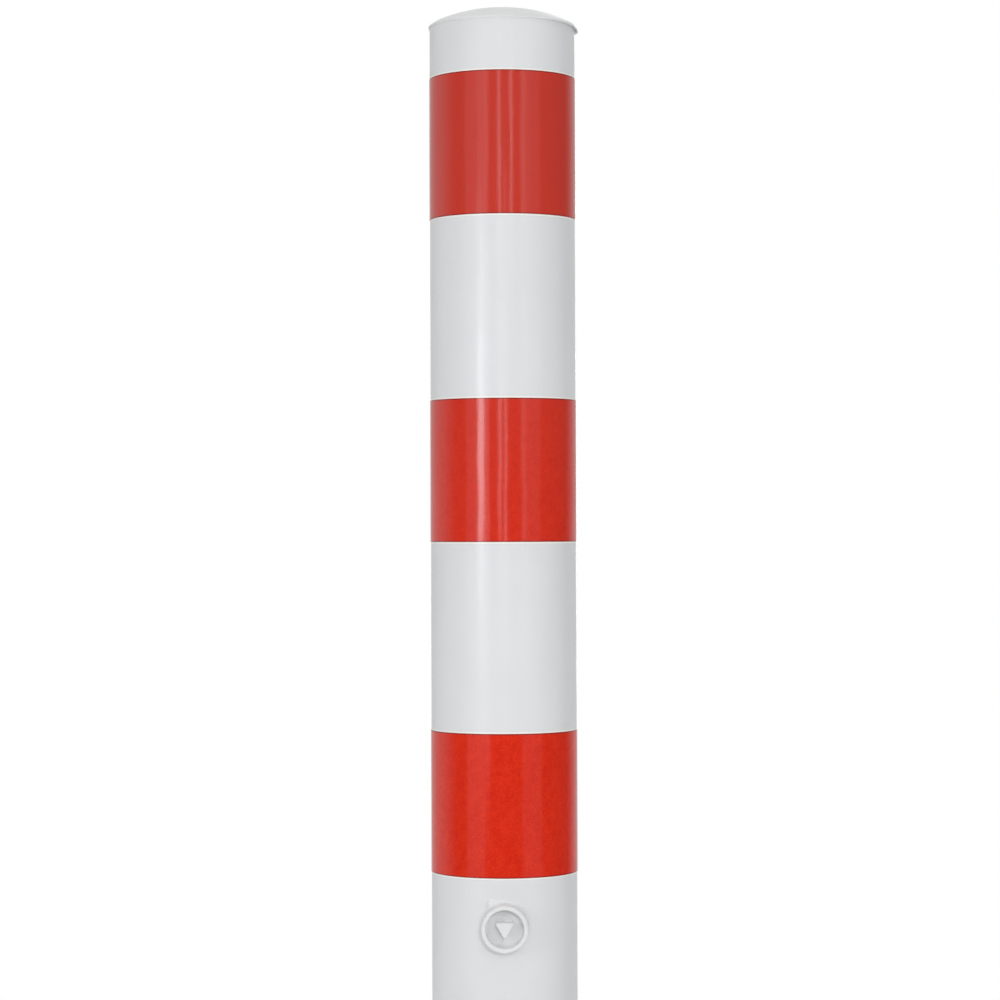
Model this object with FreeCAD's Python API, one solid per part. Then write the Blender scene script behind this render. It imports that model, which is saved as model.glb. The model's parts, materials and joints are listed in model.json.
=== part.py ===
import FreeCAD, Part
import math
import os

# Removable bollard: a round steel post on a square spigot, seated in its ground sleeve
# and locked by a bolt that a three-edged key turns out through a collar on the post.
# Millimetres. z = 0 is the ground and the sleeve's rim, the post stands on x = y = 0,
# the lock faces -Y. The lock is drawn open: the bolt is drawn back and the bar is down.

# Post
HEIGHT_ABOVE_GROUND = 900.0
TUBE_DIA = 101.6
TUBE_WALL = 3.0
BASE_PLATE_THICKNESS = 6.0
BASE_PLATE_CHAMFER = 1.0

# Domed cap, pushed into the tube a little off centre
CAP_DOME_RISE = 13.5
CAP_BRIM_THICKNESS = 1.2
CAP_BRIM_OVERHANG = 1.6
CAP_BRIM_CHAMFER = 0.5
CAP_WALL = 2.5
CAP_SKIRT_LENGTH = 16.0
CAP_SKIRT_CLEARANCE = 0.2
CAP_SIDE_SHIFT = 0.8

# Reflective bands, each one turn of film with a lap at the back. The upper two are
# measured down from the tube's top, the lowest up from the lock
BAND_HEIGHT = 98.5
BAND_THICKNESS = 0.35
BAND_LAP = 12.0
BAND_GLUE_LINE = 0.02
BARE_ABOVE_UPPER = 36.3
BARE_ABOVE_MIDDLE = 126.0
LOCK_TO_LOWER_BAND = 32.5

# Lock collar and its weld
LOCK_HEIGHT = 264.0
COLLAR_DIA = 32.0
COLLAR_WALL = 3.0
COLLAR_REACH = 18.0
COLLAR_INNER_REACH = 3.0
COLLAR_RIM_CHAMFER = 0.8
COLLAR_WELD_LEG = 2.2
COLLAR_WELD_BEVEL = 1.5
WELD_CLEARANCE = 0.05

# Spindle with its three-edged stud, and the bush it turns in
KEY_WELL_DEPTH = 15.0
STUD_LENGTH = 10.0
STUD_SIDE = 14.0
STUD_CORNER_RADIUS = 1.3
STUD_EDGE_CHAMFER = 0.6
SPINDLE_DIA = 16.0
SPINDLE_FLANGE_THICKNESS = 3.0
SPINDLE_SQUARE = 9.5
BUSH_FIT = 0.05
RUNNING_FIT = 0.05
FLANGE_CLEARANCE = 0.3

# Crank on the spindle's inner end
KEY_TURN_DEG = 90.0
CRANK_RADIUS = 12.0
CRANK_THICKNESS = 6.0
CRANK_EDGE = 6.0
CRANK_SQUARE_CLEARANCE = 0.05
CRANK_PIN_DIA = 8.0
CRANK_PIN_HEAD_DIA = 13.0
CRANK_PIN_HEAD_THICKNESS = 2.5
CRANK_PIN_END_PLAY = 0.4
CRANK_SCREW_DIA = 6.0
CRANK_SCREW_HEAD_DIA = 12.0
CRANK_SCREW_LENGTH = 16.0
CRANK_SCREW_SOCKET_DIA = 4.2
CRANK_SCREW_SOCKET_DEPTH = 2.4
CRANK_SCREW_HOLE_RUN_OUT = 1.0
THRUST_WASHER_THICKNESS = 1.5
THRUST_WASHER_DIA = 24.0
THRUST_WASHER_PLAY = 0.1

# Locking bar between the crank and the bolt
BAR_FORWARD = 16.5
BAR_THICKNESS = 5.0
BAR_WIDTH = 20.0
BAR_HEAD_MARGIN = 6.0
BAR_TO_CRANK_GAP = 2.0
CRANK_SLOT_CLEARANCE = 0.5
GUIDE_CLEARANCE = 0.3
GUIDE_THICKNESS = 5.0
UPPER_GUIDE_DROP = 55.0
UPPER_GUIDE_BACK_MARGIN = 6.0

# Cam plate welded to the bar's lower end
CAM_THICKNESS = 6.0
CAM_WIDTH = 22.0
CAM_WELD_LENGTH = 32.0
CAM_FOOT = 9.0
CAM_SLOT_CLEARANCE = 0.3

# Locking bolt, its cross pin and its guide
BOLT_DEPTH = 52.0
BOLT_DIA = 16.0
BOLT_THROW = 6.0
BOLT_NOSE_CHAMFER = 1.0
BOLT_NOSE_INSET = 0.2
BOLT_FORK_CLEARANCE = 0.3
BOLT_EAR_LENGTH = 6.0
CROSS_PIN_DIA = 5.0
CROSS_PIN_FIT = 0.02
CROSS_PIN_PLACE = 0.0
CROSS_PIN_INSET = 0.5
BOLT_GUIDE_DIA = 26.0
BOLT_GUIDE_LENGTH = 10.0
BOLT_HOLE_CLEARANCE = 0.4
BAR_TO_GUIDE_GAP = 2.0

# Square spigot under the post
SPIGOT_SIDE = 60.0
SPIGOT_WALL = 4.0
SPIGOT_CORNER = 6.0
SPIGOT_DEPTH = 285.0
SPIGOT_ABOVE_PLATE = 12.0
SPIGOT_SEAT_CLEARANCE = 0.05
SPIGOT_LEAD_CHAMFER = 2.0

# Ground sleeve
SLEEVE_SIDE = 70.0
SLEEVE_WALL = 3.0
SLEEVE_CORNER = 4.0
SLEEVE_LENGTH = 400.0
SLEEVE_BOLT_HOLE_DIA = 19.0
ANCHOR_SLOT_WIDTH = 42.0
ANCHOR_SLOT_HEIGHT = 12.0
ANCHOR_SLOT_DEPTH = 316.0
SEAM_WIDTH = 3.0
SEAM_HEIGHT = 0.8
SEAM_BEVEL = 0.5

# Places that follow from the sizes above
TUBE_R = TUBE_DIA / 2
TUBE_TOP = HEIGHT_ABOVE_GROUND - CAP_DOME_RISE - CAP_BRIM_THICKNESS
RIM_Y = -(TUBE_R + COLLAR_REACH)
COLLAR_BORE = COLLAR_DIA - 2 * COLLAR_WALL
FLOOR_Y = RIM_Y + KEY_WELL_DEPTH
BUSH_FRONT_Y = FLOOR_Y + SPINDLE_FLANGE_THICKNESS
BAR_FRONT_Y = -(BAR_FORWARD + BAR_THICKNESS / 2)
BAR_BACK_Y = BAR_FRONT_Y + BAR_THICKNESS
CRANK_BACK_Y = BAR_FRONT_Y - BAR_TO_CRANK_GAP
CRANK_FRONT_Y = CRANK_BACK_Y - CRANK_THICKNESS
WASHER_FRONT_Y = CRANK_FRONT_Y - THRUST_WASHER_THICKNESS
BUSH_BACK_Y = WASHER_FRONT_Y - THRUST_WASHER_PLAY
BOLT_Z = -BOLT_DEPTH
SPIGOT_TOP = BASE_PLATE_THICKNESS + SPIGOT_ABOVE_PLATE

# The crank swings its pin evenly about the level, on the left seen from the front
HALF_TURN = math.radians(KEY_TURN_DEG / 2)
BAR_TRAVEL = 2 * CRANK_RADIUS * math.sin(HALF_TURN)
PIN_X = -CRANK_RADIUS * math.cos(HALF_TURN)
PIN_Z = LOCK_HEIGHT - BAR_TRAVEL / 2

UP = FreeCAD.Vector(0, 0, 1)
BACK = FreeCAD.Vector(0, 1, 0)
RIGHT = FreeCAD.Vector(1, 0, 0)


def upright(dia, low, high, x=0.0, y=0.0):
    """Round bar along Z."""
    return Part.makeCylinder(dia / 2, high - low, FreeCAD.Vector(x, y, low), UP)


def inward(dia, front, back, x=0.0, z=0.0):
    """Round bar along Y, from its front end to its back end."""
    return Part.makeCylinder(dia / 2, back - front, FreeCAD.Vector(x, front, z), BACK)


def sideways(dia, length, y, z):
    """Round bar along X, centred on x = 0."""
    return Part.makeCylinder(dia / 2, length, FreeCAD.Vector(-length / 2, y, z), RIGHT)


def block(x, y, z):
    """Box from three (low, high) pairs."""
    corner = FreeCAD.Vector(x[0], y[0], z[0])
    return Part.makeBox(x[1] - x[0], y[1] - y[0], z[1] - z[0], corner)


def centred(width, middle=0.0):
    return (middle - width / 2, middle + width / 2)


def square_bar(side, corner, low, high):
    """Upright square bar with rounded corners."""
    bar = block(centred(side), centred(side), (low, high))
    return bar.makeFillet(corner, [edge for edge in bar.Edges if is_along(edge, UP)])


def square_tube(side, wall, corner, low, high):
    inside = square_bar(side - 2 * wall, corner - wall, low, high)
    return square_bar(side, corner, low, high).cut(inside)


def is_along(edge, direction):
    ends = edge.Vertexes
    if len(ends) < 2:
        return False
    run = ends[1].Point.sub(ends[0].Point)
    return run.Length > 0 and abs(run.dot(direction)) > 0.999 * run.Length


def edges_at_y(shape, y):
    """Edges that lie wholly in the plane at y."""
    return [
        edge for edge in shape.Edges
        if abs(edge.BoundBox.YMin - y) < 1e-4 and abs(edge.BoundBox.YMax - y) < 1e-4
    ]


def edges_at_z(shape, z):
    """Edges that lie wholly in the plane at z."""
    return [
        edge for edge in shape.Edges
        if abs(edge.BoundBox.ZMin - z) < 1e-4 and abs(edge.BoundBox.ZMax - z) < 1e-4
    ]


def slot_prism(start, end, dia, low, high, normal):
    """Round-ended slot from start to end, cut along the normal from low to high."""
    along = end.sub(start)
    side = normal.cross(along)
    side.normalize()
    side.multiply(dia / 2)
    middle = FreeCAD.Vector(start).add(end).multiply(0.5)
    tip = FreeCAD.Vector(along).normalize().multiply(dia / 2)
    near = [start.add(side), start.sub(tip), start.sub(side)]
    far = [end.sub(side), end.add(tip), end.add(side)]
    wire = Part.Wire([
        Part.Arc(*near).toShape(),
        Part.LineSegment(near[2], far[0]).toShape(),
        Part.Arc(*far).toShape(),
        Part.LineSegment(far[2], near[0]).toShape(),
    ])
    offset = FreeCAD.Vector(normal).multiply(low - middle.dot(normal))
    face = Part.Face(wire)
    face.translate(offset)
    return face.extrude(FreeCAD.Vector(normal).multiply(high - low))


def ground_sleeve():
    """Square tube set in the ground, with a bolt hole and an anchor slot through it."""
    tube = square_tube(SLEEVE_SIDE, SLEEVE_WALL, SLEEVE_CORNER, -SLEEVE_LENGTH, 0)
    inner_back = SLEEVE_SIDE / 2 - SLEEVE_WALL
    seam = block(centred(SEAM_WIDTH), (inner_back - SEAM_HEIGHT, inner_back), (-SLEEVE_LENGTH, 0))
    seam = seam.makeChamfer(SEAM_BEVEL, [
        edge for edge in seam.Edges
        if is_along(edge, UP) and edge.BoundBox.YMax < inner_back - SEAM_HEIGHT / 2
    ])
    through = (-SLEEVE_SIDE, SLEEVE_SIDE)
    hole = inward(SLEEVE_BOLT_HOLE_DIA, *through, z=BOLT_Z)
    slot = block(centred(ANCHOR_SLOT_WIDTH), through, centred(ANCHOR_SLOT_HEIGHT, -ANCHOR_SLOT_DEPTH))
    return tube.fuse(seam).cut(hole).cut(slot).removeSplitter()


def post_tube():
    tube = upright(TUBE_DIA, BASE_PLATE_THICKNESS, TUBE_TOP)
    bore = upright(TUBE_DIA - 2 * TUBE_WALL, BASE_PLATE_THICKNESS, TUBE_TOP)
    collar_hole = inward(COLLAR_DIA + 2 * WELD_CLEARANCE, -TUBE_DIA, 0, z=LOCK_HEIGHT)
    return tube.cut(bore).cut(collar_hole)


def dome_radius(base_radius, rise):
    return (base_radius ** 2 + rise ** 2) / (2 * rise)


def dome_point(base_radius, base_z, rise, share):
    """Point of the dome's section, from its edge (0) to its apex (1)."""
    ball = dome_radius(base_radius, rise)
    angle = math.asin(base_radius / ball) * (1 - share)
    centre_z = base_z + rise - ball
    return FreeCAD.Vector(ball * math.sin(angle), 0, centre_z + ball * math.cos(angle))


def dome_arc(base_radius, base_z, rise, upwards):
    shares = (0, 0.5, 1) if upwards else (1, 0.5, 0)
    return Part.Arc(*[dome_point(base_radius, base_z, rise, share) for share in shares]).toShape()


def post_cap():
    """Shallow pressed dome with a bevelled brim and a skirt inside the tube."""
    brim_r = TUBE_R + CAP_BRIM_OVERHANG
    skirt_r = TUBE_R - TUBE_WALL - CAP_SIDE_SHIFT - CAP_SKIRT_CLEARANCE
    hollow_r = skirt_r - CAP_WALL
    brim_top = TUBE_TOP + CAP_BRIM_THICKNESS
    skirt_low = TUBE_TOP - CAP_SKIRT_LENGTH
    hollow_rise = CAP_DOME_RISE + CAP_BRIM_THICKNESS - CAP_WALL

    def place(x, z):
        return FreeCAD.Vector(x, 0, z)

    def line(a, b):
        return Part.LineSegment(a, b).toShape()

    outline = Part.Wire([
        line(place(0, TUBE_TOP + hollow_rise), place(0, brim_top + CAP_DOME_RISE)),
        dome_arc(brim_r, brim_top, CAP_DOME_RISE, upwards=False),
        line(place(brim_r, brim_top), place(brim_r, TUBE_TOP)),
        line(place(brim_r, TUBE_TOP), place(skirt_r, TUBE_TOP)),
        line(place(skirt_r, TUBE_TOP), place(skirt_r, skirt_low)),
        line(place(skirt_r, skirt_low), place(hollow_r, skirt_low)),
        line(place(hollow_r, skirt_low), place(hollow_r, TUBE_TOP)),
        dome_arc(hollow_r, TUBE_TOP, hollow_rise, upwards=True),
    ])
    cap = Part.Face(outline).revolve(FreeCAD.Vector(0, 0, 0), UP, 360)
    brim_edges = edges_at_z(cap, brim_top) + [
        edge for edge in edges_at_z(cap, TUBE_TOP) if edge.BoundBox.XMax > TUBE_R]
    cap = cap.makeChamfer(CAP_BRIM_CHAMFER, brim_edges)
    cap.translate(FreeCAD.Vector(CAP_SIDE_SHIFT, 0, 0))
    return cap


def sector(radius, thickness, low, high, start_deg, sweep_deg):
    """Part of a ring seen from above, from the start angle through the sweep."""
    foot = FreeCAD.Vector(0, 0, low)
    outer = Part.makeCylinder(radius + thickness, high - low, foot, UP, sweep_deg)
    ring = outer.cut(upright(2 * radius, low, high))
    ring.rotate(foot, UP, start_deg)
    return ring


def band(top):
    """One turn of film whose last stretch laps over its start at the back."""
    inner = TUBE_R + BAND_GLUE_LINE
    outer = inner + BAND_THICKNESS
    low = top - BAND_HEIGHT
    turn = upright(2 * outer, low, top).cut(upright(2 * inner, low, top))
    lap = sector(outer, BAND_THICKNESS, low, top, 90, math.degrees(BAND_LAP / outer))
    return turn.fuse(lap)


def lock_collar():
    """Short tube through the post's wall, its bore ending against the bush."""
    back = -(TUBE_R - TUBE_WALL) + COLLAR_INNER_REACH
    outside = inward(COLLAR_DIA, RIM_Y, back, z=LOCK_HEIGHT)
    bore = inward(COLLAR_BORE, RIM_Y, back, z=LOCK_HEIGHT)
    collar = outside.cut(bore)
    return collar.makeChamfer(COLLAR_RIM_CHAMFER, edges_at_y(collar, RIM_Y))


def collar_weld():
    """Saddle-shaped fillet weld where the collar meets the post."""
    bead = inward(COLLAR_DIA + 2 * COLLAR_WELD_LEG, -TUBE_DIA, 0, z=LOCK_HEIGHT)
    skin = upright(TUBE_DIA + 2 * COLLAR_WELD_LEG, LOCK_HEIGHT - COLLAR_DIA, LOCK_HEIGHT + COLLAR_DIA)
    bead = bead.common(skin)
    front_half = block((-TUBE_DIA, TUBE_DIA), (-TUBE_DIA, -TUBE_R / 2), centred(2 * COLLAR_DIA, LOCK_HEIGHT))
    bead = bead.common(front_half)
    outer_edges = [
        edge for edge in bead.Edges
        if edge.BoundBox.YMax < -TUBE_R / 2 - COLLAR_WELD_LEG
    ]
    bead = bead.makeChamfer(COLLAR_WELD_BEVEL, outer_edges)
    post = upright(TUBE_DIA + 2 * WELD_CLEARANCE, LOCK_HEIGHT - TUBE_DIA, LOCK_HEIGHT + TUBE_DIA)
    collar = inward(COLLAR_DIA + 2 * WELD_CLEARANCE, -TUBE_DIA, 0, z=LOCK_HEIGHT)
    return bead.cut(post).cut(collar)


def spindle_bush():
    """Bearing in the collar that carries the spindle, whose flange runs on its front."""
    bush = inward(COLLAR_BORE - 2 * BUSH_FIT, BUSH_FRONT_Y, BUSH_BACK_Y, z=LOCK_HEIGHT)
    return bush.cut(inward(SPINDLE_DIA + 2 * RUNNING_FIT, BUSH_FRONT_Y, BUSH_BACK_Y, z=LOCK_HEIGHT))


def triangle_stud():
    """Three-edged stud, point down, with rounded edges and a chamfered face."""
    reach = STUD_SIDE / math.sqrt(3)
    corners = []
    for turn_deg in (-90, 30, 150):
        angle = math.radians(turn_deg)
        corners.append(FreeCAD.Vector(
            reach * math.cos(angle), FLOOR_Y - STUD_LENGTH, LOCK_HEIGHT + reach * math.sin(angle)))
    outline = Part.makePolygon(corners + corners[:1])
    stud = Part.Face(outline).extrude(FreeCAD.Vector(0, STUD_LENGTH, 0))
    stud = stud.makeFillet(STUD_CORNER_RADIUS, [edge for edge in stud.Edges if is_along(edge, BACK)])
    return stud.makeChamfer(STUD_EDGE_CHAMFER, edges_at_y(stud, FLOOR_Y - STUD_LENGTH))


def lock_spindle():
    """Spindle in one piece: stud, flange, journal and the square that drives the crank."""
    flange = inward(COLLAR_BORE - 2 * FLANGE_CLEARANCE, FLOOR_Y, BUSH_FRONT_Y, z=LOCK_HEIGHT)
    journal = inward(SPINDLE_DIA, FLOOR_Y, CRANK_FRONT_Y, z=LOCK_HEIGHT)
    screw_seat = screw_head_depth()
    square = block(centred(SPINDLE_SQUARE), (CRANK_FRONT_Y, CRANK_BACK_Y - screw_seat),
                   centred(SPINDLE_SQUARE, LOCK_HEIGHT))
    hole_front = CRANK_BACK_Y - CRANK_SCREW_LENGTH - CRANK_SCREW_HOLE_RUN_OUT
    screw_hole = inward(CRANK_SCREW_DIA + 2 * BUSH_FIT, hole_front, CRANK_BACK_Y, z=LOCK_HEIGHT)
    return triangle_stud().fuse(flange).fuse(journal).fuse(square).cut(screw_hole).removeSplitter()


def screw_head_depth():
    """Depth of a 90 degree countersunk head."""
    return (CRANK_SCREW_HEAD_DIA - CRANK_SCREW_DIA) / 2


def head_cone(clearance):
    """The countersunk head, flush with the crank's back face."""
    depth = screw_head_depth()
    return Part.makeCone(CRANK_SCREW_DIA / 2 + clearance, CRANK_SCREW_HEAD_DIA / 2 + clearance, depth,
                         FreeCAD.Vector(0, CRANK_BACK_Y - depth, LOCK_HEIGHT), BACK)


def crank_plate():
    """Egg-shaped arm from the spindle's square to the crank pin."""
    hub = inward(SPINDLE_DIA + 2 * CRANK_EDGE, CRANK_FRONT_Y, CRANK_BACK_Y, z=LOCK_HEIGHT)
    eye = inward(CRANK_PIN_DIA + 2 * CRANK_EDGE, CRANK_FRONT_Y, CRANK_BACK_Y, PIN_X, PIN_Z)
    square = block(centred(SPINDLE_SQUARE + 2 * CRANK_SQUARE_CLEARANCE), (CRANK_FRONT_Y, CRANK_BACK_Y),
                   centred(SPINDLE_SQUARE + 2 * CRANK_SQUARE_CLEARANCE, LOCK_HEIGHT))
    pin_hole = inward(CRANK_PIN_DIA + 2 * CRANK_SQUARE_CLEARANCE, CRANK_FRONT_Y, CRANK_BACK_Y, PIN_X, PIN_Z)
    return hub.fuse(eye).cut(square).cut(head_cone(CRANK_SQUARE_CLEARANCE)).cut(pin_hole).removeSplitter()


def crank_screw():
    shank = inward(CRANK_SCREW_DIA, CRANK_BACK_Y - CRANK_SCREW_LENGTH, CRANK_BACK_Y, z=LOCK_HEIGHT)
    socket = inward(CRANK_SCREW_SOCKET_DIA, CRANK_BACK_Y - CRANK_SCREW_SOCKET_DEPTH, CRANK_BACK_Y,
                    z=LOCK_HEIGHT)
    return shank.fuse(head_cone(0)).cut(socket).removeSplitter()


def crank_pin():
    """Headed pin that carries the bar on the crank."""
    head_front = BAR_BACK_Y + CRANK_PIN_END_PLAY
    head_back = head_front + CRANK_PIN_HEAD_THICKNESS
    pin = inward(CRANK_PIN_DIA, CRANK_FRONT_Y, head_back, PIN_X, PIN_Z)
    return pin.fuse(inward(CRANK_PIN_HEAD_DIA, head_front, head_back, PIN_X, PIN_Z)).removeSplitter()


def thrust_washer():
    ring = inward(THRUST_WASHER_DIA, WASHER_FRONT_Y, CRANK_FRONT_Y, z=LOCK_HEIGHT)
    return ring.cut(inward(SPINDLE_DIA + 2 * RUNNING_FIT, WASHER_FRONT_Y, CRANK_FRONT_Y, z=LOCK_HEIGHT))


def bar_low():
    """The bar stops above the bolt's guide."""
    return BOLT_Z + BOLT_GUIDE_DIA / 2 + BAR_TO_GUIDE_GAP


def locking_bar():
    """Flat bar cut from one plate, its head slotted for the crank pin."""
    slot_dia = CRANK_PIN_DIA + 2 * CRANK_SLOT_CLEARANCE
    y = (BAR_FRONT_Y, BAR_BACK_Y)
    head_low = PIN_Z - slot_dia / 2 - BAR_HEAD_MARGIN
    head_high = PIN_Z + slot_dia / 2 + BAR_HEAD_MARGIN
    head_left = -CRANK_RADIUS - slot_dia / 2 - BAR_HEAD_MARGIN
    head = block((head_left, BAR_WIDTH / 2), y, (head_low, head_high))
    stem = block(centred(BAR_WIDTH), y, (bar_low(), head_high))
    bar = head.fuse(stem).removeSplitter()
    slot = slot_prism(FreeCAD.Vector(-CRANK_RADIUS, 0, PIN_Z), FreeCAD.Vector(PIN_X, 0, PIN_Z),
                      slot_dia, y[0], y[1], BACK)
    return bar.cut(slot)


def cam_plate():
    """Plate behind the bar whose slanted slot drives the bolt's cross pin."""
    foot = BOLT_Z - BAR_TRAVEL - CROSS_PIN_DIA / 2 - CAM_SLOT_CLEARANCE - CAM_FOOT
    plate = block(centred(CAM_THICKNESS), (BAR_BACK_Y, BAR_BACK_Y + CAM_WIDTH),
                  (foot, bar_low() + CAM_WELD_LENGTH))
    slot = slot_prism(FreeCAD.Vector(0, CROSS_PIN_PLACE, BOLT_Z),
                      FreeCAD.Vector(0, CROSS_PIN_PLACE - BOLT_THROW, BOLT_Z - BAR_TRAVEL),
                      CROSS_PIN_DIA + 2 * CAM_SLOT_CLEARANCE, -CAM_THICKNESS, CAM_THICKNESS, RIGHT)
    return plate.cut(slot)


def latch_bolt():
    """Round bolt, forked at the back to straddle the cam plate."""
    nose = -SPIGOT_SIDE / 2 + BOLT_NOSE_INSET
    tail = CROSS_PIN_PLACE + BOLT_EAR_LENGTH
    bolt = inward(BOLT_DIA, nose, tail, z=BOLT_Z)
    bolt = bolt.makeChamfer(BOLT_NOSE_CHAMFER, edges_at_y(bolt, nose))
    fork_front = BAR_BACK_Y - BOLT_FORK_CLEARANCE - CAM_SLOT_CLEARANCE
    fork = block(centred(CAM_THICKNESS + 2 * BOLT_FORK_CLEARANCE), (fork_front, tail),
                 centred(2 * BOLT_DIA, BOLT_Z))
    pin_hole = sideways(CROSS_PIN_DIA + 2 * CROSS_PIN_FIT, 2 * BOLT_DIA, CROSS_PIN_PLACE, BOLT_Z)
    return bolt.cut(fork).cut(pin_hole)


def cross_pin():
    return sideways(CROSS_PIN_DIA, BOLT_DIA - 2 * CROSS_PIN_INSET, CROSS_PIN_PLACE, BOLT_Z)


def bolt_guide():
    """Bored boss welded inside the spigot's front wall."""
    front = -SPIGOT_SIDE / 2 + SPIGOT_WALL
    boss = inward(BOLT_GUIDE_DIA, front, front + BOLT_GUIDE_LENGTH, z=BOLT_Z)
    return boss.cut(inward(BOLT_DIA + 2 * RUNNING_FIT, front, front + BOLT_GUIDE_LENGTH, z=BOLT_Z))


def spigot():
    """Square tube below the post, its lower end chamfered to find the sleeve."""
    bar = square_bar(SPIGOT_SIDE, SPIGOT_CORNER, -SPIGOT_DEPTH, SPIGOT_TOP)
    bar = bar.makeChamfer(SPIGOT_LEAD_CHAMFER, edges_at_z(bar, -SPIGOT_DEPTH))
    inside = square_bar(SPIGOT_SIDE - 2 * SPIGOT_WALL, SPIGOT_CORNER - SPIGOT_WALL,
                        -SPIGOT_DEPTH, SPIGOT_TOP)
    bolt_hole = inward(BOLT_DIA + 2 * BOLT_HOLE_CLEARANCE, -SPIGOT_SIDE, 0, z=BOLT_Z)
    return bar.cut(inside).cut(bolt_hole)


def base_plate():
    """Disc that closes the tube and rests on the sleeve's rim."""
    disc = upright(TUBE_DIA, 0, BASE_PLATE_THICKNESS)
    disc = disc.makeChamfer(BASE_PLATE_CHAMFER, edges_at_z(disc, 0))
    seat = SPIGOT_SIDE + 2 * SPIGOT_SEAT_CLEARANCE
    return disc.cut(square_bar(seat, SPIGOT_CORNER, 0, BASE_PLATE_THICKNESS))


def bar_passage(low, high):
    """The slot that a guide leaves for the bar."""
    return block(centred(BAR_WIDTH + 2 * GUIDE_CLEARANCE),
                 (BAR_FRONT_Y - GUIDE_CLEARANCE, BAR_BACK_Y + GUIDE_CLEARANCE), (low, high))


def bar_guide_lower():
    """Square plate on the spigot's top end."""
    low = SPIGOT_TOP
    high = low + GUIDE_THICKNESS
    return square_bar(SPIGOT_SIDE, SPIGOT_CORNER, low, high).cut(bar_passage(low, high))


def bar_guide_upper():
    """Half-moon plate welded to the front of the tube's inner wall."""
    high = LOCK_HEIGHT - UPPER_GUIDE_DROP
    low = high - GUIDE_THICKNESS
    disc = upright(TUBE_DIA - 2 * TUBE_WALL - 2 * WELD_CLEARANCE, low, high)
    back = BAR_BACK_Y + GUIDE_CLEARANCE + UPPER_GUIDE_BACK_MARGIN
    front = block((-TUBE_R, TUBE_R), (-TUBE_R, back), (low, high))
    return disc.common(front).cut(bar_passage(low, high))


def build_all():
    upper_top = TUBE_TOP - BARE_ABOVE_UPPER
    middle_top = upper_top - BAND_HEIGHT - BARE_ABOVE_MIDDLE
    lower_top = LOCK_HEIGHT + LOCK_TO_LOWER_BAND + BAND_HEIGHT
    return {
        "ground_sleeve": ground_sleeve(),
        "post_tube": post_tube(),
        "post_cap": post_cap(),
        "base_plate": base_plate(),
        "spigot": spigot(),
        "band_upper": band(upper_top),
        "band_middle": band(middle_top),
        "band_lower": band(lower_top),
        "lock_collar": lock_collar(),
        "collar_weld": collar_weld(),
        "spindle_bush": spindle_bush(),
        "thrust_washer": thrust_washer(),
        "lock_spindle": lock_spindle(),
        "crank_plate": crank_plate(),
        "crank_screw": crank_screw(),
        "crank_pin": crank_pin(),
        "locking_bar": locking_bar(),
        "cam_plate": cam_plate(),
        "bar_guide_upper": bar_guide_upper(),
        "bar_guide_lower": bar_guide_lower(),
        "bolt_guide": bolt_guide(),
        "latch_bolt": latch_bolt(),
        "cross_pin": cross_pin(),
    }


os.makedirs("parts", exist_ok=True)
for name, solid in build_all().items():
    solid.exportStep("parts/" + name + ".step")
    box = solid.BoundBox
    print(name, solid.isValid(), len(solid.Solids), round(solid.Volume),
          [round(value, 2) for value in (box.XMin, box.XMax, box.YMin, box.YMax, box.ZMin, box.ZMax)])
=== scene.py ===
import json
import math

import bmesh
import bpy
from mathutils import Matrix, Quaternion, Vector, noise

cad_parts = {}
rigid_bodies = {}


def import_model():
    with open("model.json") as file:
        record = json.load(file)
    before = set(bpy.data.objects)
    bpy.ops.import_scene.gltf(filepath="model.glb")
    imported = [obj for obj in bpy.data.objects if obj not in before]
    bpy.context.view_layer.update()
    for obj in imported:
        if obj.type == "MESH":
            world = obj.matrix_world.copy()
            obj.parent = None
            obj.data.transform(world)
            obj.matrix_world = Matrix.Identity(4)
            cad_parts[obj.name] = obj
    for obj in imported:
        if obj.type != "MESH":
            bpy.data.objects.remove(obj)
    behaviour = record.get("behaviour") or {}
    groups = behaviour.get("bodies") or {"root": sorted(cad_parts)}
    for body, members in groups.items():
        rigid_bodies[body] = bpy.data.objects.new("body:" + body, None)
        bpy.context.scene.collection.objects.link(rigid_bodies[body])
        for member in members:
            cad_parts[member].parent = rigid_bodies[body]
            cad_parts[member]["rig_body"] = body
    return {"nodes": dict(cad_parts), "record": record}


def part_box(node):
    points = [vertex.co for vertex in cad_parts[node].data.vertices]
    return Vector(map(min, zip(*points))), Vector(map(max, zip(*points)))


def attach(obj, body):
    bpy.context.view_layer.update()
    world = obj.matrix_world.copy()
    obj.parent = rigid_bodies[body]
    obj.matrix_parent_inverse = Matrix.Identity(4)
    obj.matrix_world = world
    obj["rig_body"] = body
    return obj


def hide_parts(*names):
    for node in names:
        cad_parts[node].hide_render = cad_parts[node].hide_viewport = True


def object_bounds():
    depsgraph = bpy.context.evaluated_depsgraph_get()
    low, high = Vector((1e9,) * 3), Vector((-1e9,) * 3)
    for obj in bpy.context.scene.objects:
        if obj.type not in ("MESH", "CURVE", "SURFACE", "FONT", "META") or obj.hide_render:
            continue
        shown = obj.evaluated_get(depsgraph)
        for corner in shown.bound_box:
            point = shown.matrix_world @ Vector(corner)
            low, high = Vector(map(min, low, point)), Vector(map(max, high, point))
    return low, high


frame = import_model()
cad_low, cad_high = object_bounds()

# Removable bollard, its post seated in the ground sleeve. Metres, z = 0 at the ground,
# lock towards -Y. The tube, cap, films, collar, weld and sleeve are built here with the
# small forms that the photo shows, and replace their solids. Every other solid is shown
# as it is, with a material.

MM = 0.001
TURN = 2 * math.pi

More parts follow.
